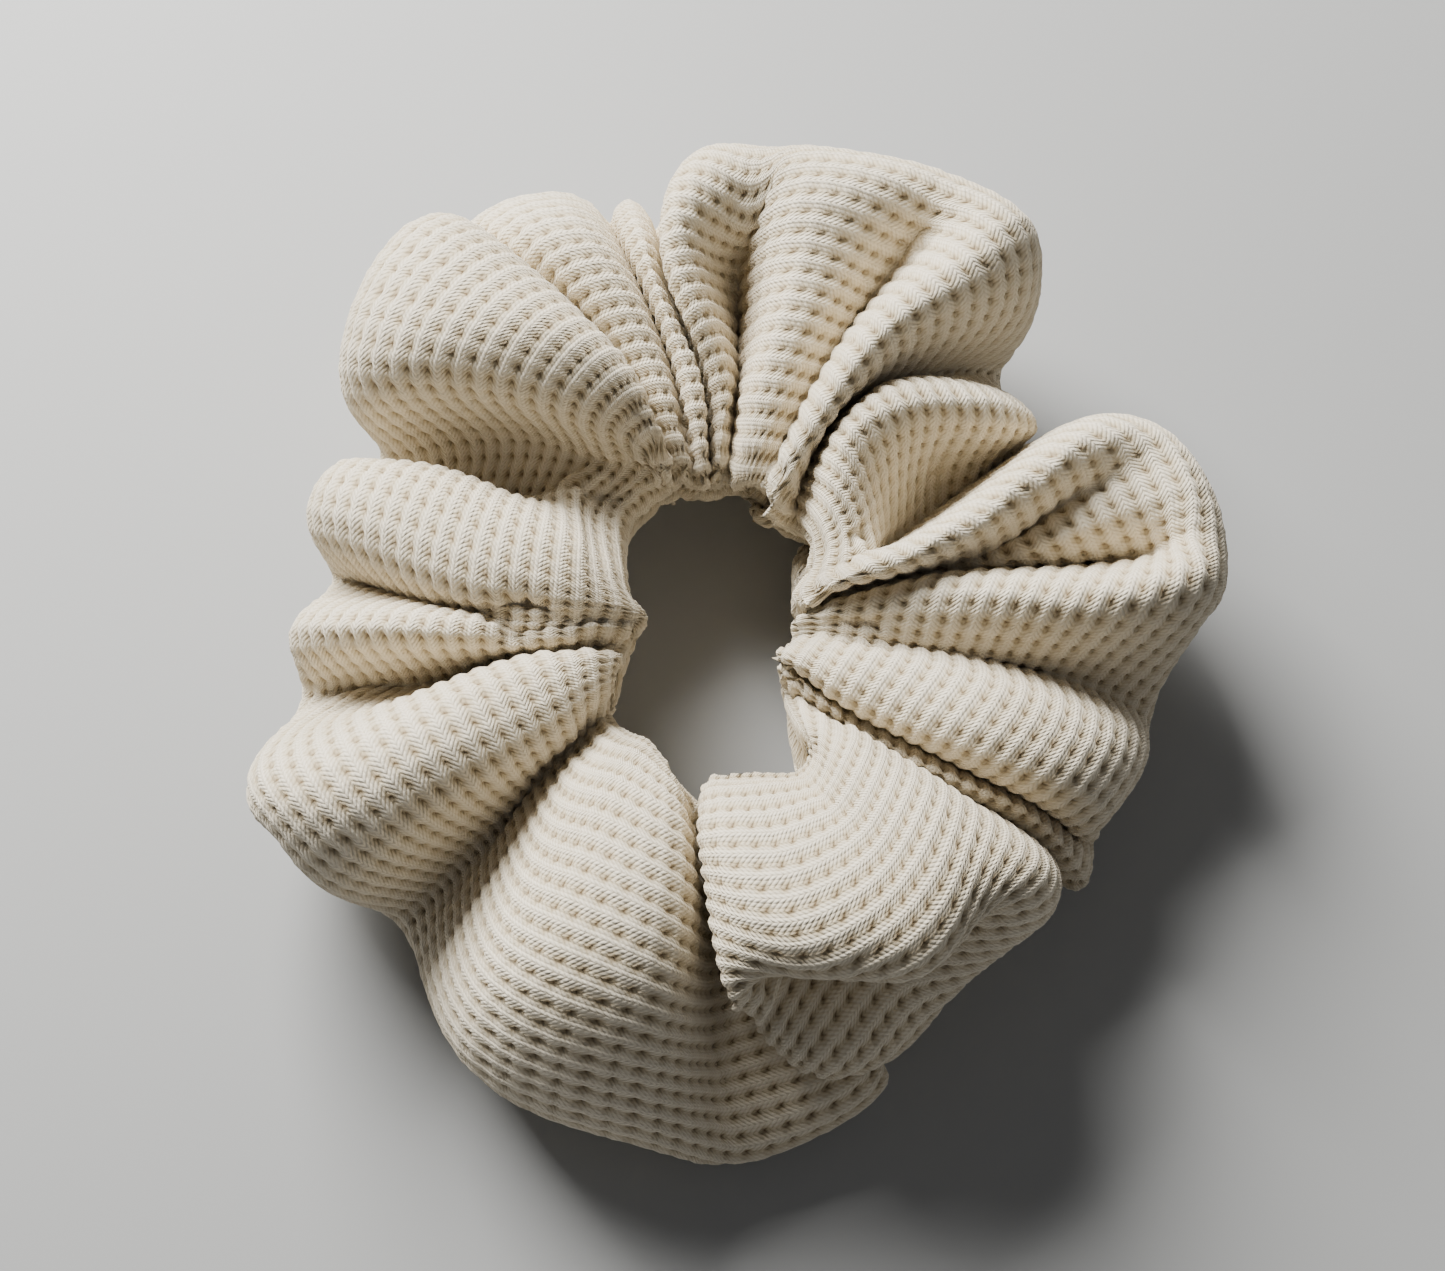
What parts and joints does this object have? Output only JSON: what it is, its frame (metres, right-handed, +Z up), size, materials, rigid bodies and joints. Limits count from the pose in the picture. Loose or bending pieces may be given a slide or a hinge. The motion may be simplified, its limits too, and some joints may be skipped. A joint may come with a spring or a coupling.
{
  "type": "hair scrunchie",
  "caption": "Gathered hair scrunchie: a tube of waffle-knit fabric pleated round a hidden flat elastic loop, which stretches open to take hair.",
  "frame": {"origin": "centre of the bounding box in plan, on the surface the scrunchie lies on", "axes": "+Z up through the opening, the ring's axis; +X towards the right of the picture, along which it is pulled open; +Y towards the picture's top"},
  "size_m": [0.1202, 0.1233, 0.0369],
  "materials": {
    "waffle_knit": "soft cotton waffle knit, oatmeal cream, matt",
    "elastic": "white braided elastic",
    "thread": "spun polyester sewing thread, cream"
  },
  "bodies": {
    "left_half": {"casing_left": "waffle_knit", "elastic_left": "elastic", "side_seam_thread_left": "thread", "closing_seam_needle_thread": "thread", "closing_seam_bobbin_thread": "thread"},
    "right_half": {"casing_right": "waffle_knit", "elastic_upper_end": "elastic", "elastic_under_end": "elastic", "lap_needle_thread": "thread", "lap_bobbin_thread": "thread", "side_seam_thread_right": "thread"}
  },
  "joints": [
    {"name": "stretch", "type": "slide", "parent": "left_half", "child": "right_half", "axis": [1, 0, 0], "range_m": [0, 0.08], "stiffness_N_per_m": 60}
  ]
}
